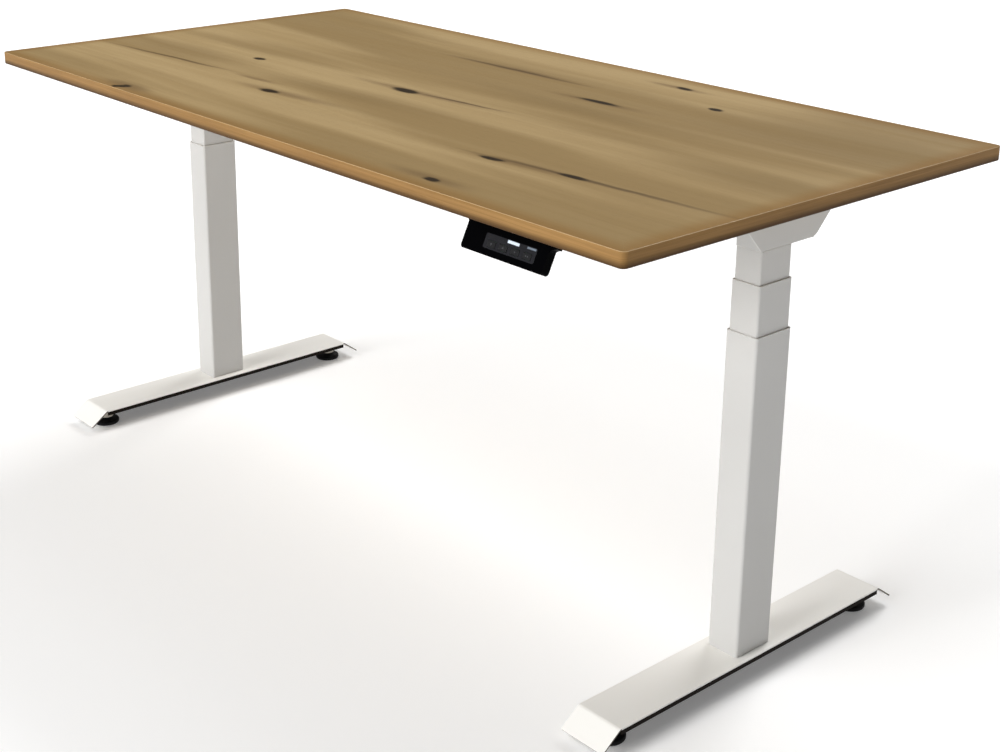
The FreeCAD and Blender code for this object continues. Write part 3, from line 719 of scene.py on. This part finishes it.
oak_edge, edge_tree, edge_shader = new_material("oak_edge", (0.33, 0.18, 0.07), 0.45)
edge_place = place_of(edge_tree)
edge_lanes = ramp(edge_tree, noise(edge_tree, edge_place, (2.5, 2.5, 260.0), 3.0, 0.6), 0.32, 0.70)
edge_fibres = ramp(edge_tree, noise(edge_tree, edge_place, (18.0, 18.0, 1500.0), 2.0), 0.40, 0.72)
edge_patch = ramp(edge_tree, noise(edge_tree, edge_place, (3.0, 3.0, 10.0), 2.0), 0.35, 0.7)
edge_up = add_node(edge_tree, "ShaderNodeSeparateXYZ", {0: edge_place}).outputs["Z"]
# The band darkens towards its lower edge: painted shade under the board.
edge_painted_shade = ramp(edge_tree, edge_up, band_low.z + 0.013, band_low.z + 0.001)
edge_tone = (0.320, 0.182, 0.064)
for cover, strength, colour in ((edge_lanes, 1.0, (0.235, 0.128, 0.040)),
                                (edge_patch, 0.35, (0.19, 0.10, 0.036)),
                                (edge_fibres, 0.25, (0.15, 0.08, 0.035)),
                                (edge_painted_shade, 0.88, (0.045, 0.022, 0.008))):
    edge_tone = blend_colour(edge_tree, maths(edge_tree, "MULTIPLY", cover, strength), edge_tone, colour)
edge_tree.links.new(edge_tone, edge_shader.inputs["Base Color"])
edge_relief = add_node(edge_tree, "ShaderNodeBump", {"Height": edge_fibres, "Strength": 0.3,
                       "Distance": 0.0001})
edge_tree.links.new(edge_relief.outputs["Normal"], edge_shader.inputs["Normal"])
edge_shader.inputs["Specular IOR Level"].default_value = 0.08
# The lighter oak on the top arris faces is a painted highlight.
arris_painted_highlight = surface("arris_painted_highlight", (0.52, 0.36, 0.18), (0.40, 0.26, 0.12), 0.5, cloud=25.0, bump=0.1)


def slab(low, high, corner):
    """A block between two corners with its upright edges rounded."""
    mesh = bmesh.new()
    bmesh.ops.create_cube(mesh, size=1.0)
    size = high - low
    middle = (low + high) / 2
    bmesh.ops.scale(mesh, vec=size, verts=mesh.verts)
    bmesh.ops.translate(mesh, vec=middle, verts=mesh.verts)
    upright = [e for e in mesh.edges if abs(e.verts[0].co.z - e.verts[1].co.z) > size.z / 2]
    bevel_edges(mesh, upright, corner, 8)
    return mesh


board = slab(board_low, board_high, board_corner)
smooth_shade(board, 30)
place_piece(board, "desktop_board_faced", [oak_decor], "desktop_frame", ["desktop_board"])

band_thick = board_low.x - band_low.x
band = slab(band_low, band_high, board_corner + band_thick)
for up, arris in ((1, top_arris), (-1, low_arris)):
    cap = [f for f in band.faces if f.normal.z * up > 0.99][0]
    bevel_edges(band, cap.edges[:], arris, 4)
    cap = max((f for f in band.faces if f.normal.z * up > 0.99), key=lambda f: f.calc_area())
    bmesh.ops.inset_individual(band, faces=[cap], thickness=band_thick - arris, use_even_offset=True)
caps = sorted(band.faces, key=lambda f: f.calc_area())[-2:]
rims = [list(f.edges) for f in caps]
bmesh.ops.delete(band, geom=caps, context="FACES_ONLY")
bmesh.ops.bridge_loops(band, edges=rims[0] + rims[1])
bmesh.ops.recalc_face_normals(band, faces=band.faces)
# The upward arris faces take the lighter oak as a painted highlight.
for face in band.faces:
    if 0.25 < face.normal.z < 0.98:
        face.material_index = 1
smooth_shade(band, 30)
place_piece(band, "edge_band_glued", [oak_edge, arris_painted_highlight], "desktop_frame", ["edge_band"])

# ---- Screws and washers --------------------------------------------------
# Pan head screws go up through the arms, the handset and the control box into the board.
# A grey rubber washer sits between each arm and the board at every screw.

board_screw_head = 0.0045
board_socket = 0.0020
board_socket_deep = 0.0015
washer_round = 0.0006
rubber_grey = surface("rubber_grey", (0.05, 0.05, 0.052), (0.07, 0.07, 0.072), 0.75, bump=0.4)
board_screws = with_sockets("board_screws", (0, 0, -1), board_screw_head, board_socket,
                            board_socket_deep)
place_piece(board_screws, "board_screws_socketed", [zinc_plate], "desktop_frame", ["board_screws"])
washers = softened_copy("board_washers", washer_round)
place_piece(washers, "board_washers_moulded", [rubber_grey], "desktop_frame", ["board_washers"])

# ---- Handset -------------------------------------------------------------
# A slim gloss black moulding hangs under the front edge near its right end, screwed up
# through a flange. Its tilted face has a smoked readout window with painted reflections, and four keys.

handset_tilt = 25.5
handset_drop = 0.041
handset_width = 0.152
case_round = 0.001
window_round = 0.0002
ear_reach = 0.011
ear_deep = 0.010
ear_lap = 0.0005
ear_below_top = 0.003
left_tab = 0.001
right_tab = 0.0065
gloss_black = surface("gloss_black", (0.0008, 0.0008, 0.001), (0.0015, 0.0015, 0.002), 0.24, cloud=30.0,
                      bump=0.03, rough_spread=0.03, shine=0.01)
key_black = surface("key_black", (0.010, 0.010, 0.011), (0.014, 0.014, 0.015), 0.5, bump=0.2, shine=0.12)
key_mark = surface("key_mark", (0.05, 0.052, 0.056), (0.04, 0.042, 0.046), 0.5, bump=0.1, shine=0.2)

case_low, case_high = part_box("handset_case")
face_place = Matrix.Translation((0, band_low.y, case_high.z - handset_drop))
face_front = face_place @ Matrix.Rotation(math.radians(90 - handset_tilt), 4, "X")
face_tall = handset_drop / math.cos(math.radians(handset_tilt))
case = softened_copy("handset_case", case_round, sharp=40.0, segments=4)
for way, tab in ((-1, left_tab), (1, right_tab)):
    # A moulded web curves out from the body to the flange, and is deeper at the right end.
    web = bmesh.new()
    rim = web.verts.new((ear_reach, 0, 0))
    bmesh.ops.spin(web, geom=[rim], cent=(0, 0, 0), axis=(0, 0, 1), angle=math.pi / 2, steps=8)
    for vert in web.verts:
        vert.co.x = ear_reach - vert.co.x
        vert.co.y = tab + ear_reach - vert.co.y
    arc = sorted(web.verts, key=lambda v: v.co.y)
    outline = [web.verts.new((0, 0, 0)), web.verts.new((ear_reach, 0, 0))] + arc
    push_out(web, web.faces.new(outline), (0, 0, -ear_deep))
    bmesh.ops.scale(web, vec=(way, -1, 1), verts=web.verts)
    edge_x = (case_low.x + case_high.x) / 2 + way * (handset_width / 2 - ear_lap)
    bmesh.ops.translate(web, vec=(edge_x, face_tall - ear_below_top, -ear_lap), verts=web.verts)
    bmesh.ops.transform(web, matrix=face_front, verts=web.verts)
    bmesh.ops.recalc_face_normals(web, faces=web.faces)
    smooth_shade(web, 30)
    join_mesh(case, web)
place_piece(case, "handset_case_moulded", [gloss_black], "desktop_frame", ["handset_case"])

smoked, smoked_tree, smoked_shader = new_material("smoked_window", (0.020, 0.020, 0.022), 0.22)
smoked_shader.inputs["Specular IOR Level"].default_value = 0.10
smoked_place = place_of(smoked_tree)
smoked_parts = add_node(smoked_tree, "ShaderNodeSeparateXYZ", {0: smoked_place})


def reflection_strip(tree, parts, x, z, long, tall):
    """A pale strip painted on the window as a reflection, 1 inside it and 0 outside."""
    across = maths(tree, "ABSOLUTE", maths(tree, "SUBTRACT", parts.outputs["X"], x))
    up = maths(tree, "ABSOLUTE", maths(tree, "SUBTRACT", parts.outputs["Z"], z))
    return maths(tree, "MULTIPLY", ramp(tree, across, long / 2 + 0.0006, long / 2 - 0.0006),
                 ramp(tree, up, tall / 2 + 0.0005, tall / 2 - 0.0005))


window_low, window_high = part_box("handset_window")
window_middle = (window_low.x + window_high.x) / 2
# The two pale strips are painted reflections of a soft box in the glass.
bright_painted_reflection = reflection_strip(smoked_tree, smoked_parts, window_middle + 0.004, window_high.z - 0.00233, 0.021, 0.0034)
dim_painted_reflection = reflection_strip(smoked_tree, smoked_parts, window_middle + 0.037, window_high.z - 0.00193, 0.016, 0.0022)
smoked_cloud = noise(smoked_tree, smoked_place, (60.0, 60.0, 60.0))
smoked_tone = blend_colour(smoked_tree, smoked_cloud, (0.012, 0.012, 0.014), (0.021, 0.021, 0.024))
smoked_tone = blend_colour(smoked_tree, dim_painted_reflection, smoked_tone, (0.16, 0.19, 0.23))
smoked_tone = blend_colour(smoked_tree, bright_painted_reflection, smoked_tone, (0.62, 0.70, 0.80))
smoked_tree.links.new(smoked_tone, smoked_shader.inputs["Base Color"])
smoked_relief = add_node(smoked_tree, "ShaderNodeBump", {"Height": smoked_cloud, "Strength": 0.05,
                         "Distance": 0.0002})
smoked_tree.links.new(smoked_relief.outputs["Normal"], smoked_shader.inputs["Normal"])
window = softened_copy("handset_window", window_round, sharp=40.0)
place_piece(window, "handset_window_smoked", [smoked], "desktop_frame", ["handset_window"])

# Each key is marked with a plain arrow head or with dots: (across, up, radius, corners).
key_marks = {"down": [(0, 0, 0.0022, 3)], "up": [(0, 0, 0.0022, 3)],
             "memory_one": [(0, 0, 0.0010, 16)],
             "memory_two": [(-0.0018, 0, 0.0010, 16), (0.0018, 0, 0.0010, 16)]}
key_middle = 0.016
key_proud = 0.0005
key_round = 0.0003
mark_thick = 0.00006
for name, marks in key_marks.items():
    low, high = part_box(f"key_{name}")
    key = softened_copy(f"key_{name}", key_round, sharp=40.0)
    turn = Matrix.Rotation(math.pi if name == "down" else 0.0, 4, "Z")
    for across, up, radius, corners in marks:
        spot = Matrix.Translation(((low.x + high.x) / 2 + across, key_middle + up, key_proud))
        made = bmesh.ops.create_cone(key, cap_ends=True, segments=corners, radius1=radius,
                                     radius2=radius, depth=mark_thick, matrix=face_front @ spot @ turn)
        for vert in made["verts"]:
            for face in vert.link_faces:
                face.material_index = 1
    place_piece(key, f"key_{name}_moulded", [key_black, key_mark], f"key_{name}",
                [f"key_{name}"])

board_green = surface("board_green", (0.02, 0.10, 0.045), (0.03, 0.13, 0.06), 0.4, cloud=80.0, bump=0.2)
dress("handset_circuit", board_green)

# ---- Control box ---------------------------------------------------------
# A textured black plastic tray under the middle of the desktop. The ears of its lid are
# screwed to the board, four sockets open in one end, and a circuit board stands inside.

tray_round = 0.0012
lid_round = 0.0008
box_black = surface("box_black", (0.018, 0.018, 0.019), (0.026, 0.026, 0.027), 0.55, bump=0.7,
                    bump_scale=450.0)
tray = softened_copy("control_case", tray_round, segments=3)
place_piece(tray, "control_case_moulded", [box_black], "desktop_frame", ["control_case"])
lid = softened_copy("control_lid", lid_round)
place_piece(lid, "control_lid_moulded", [box_black], "desktop_frame", ["control_lid"])
dress("control_circuit", board_green)
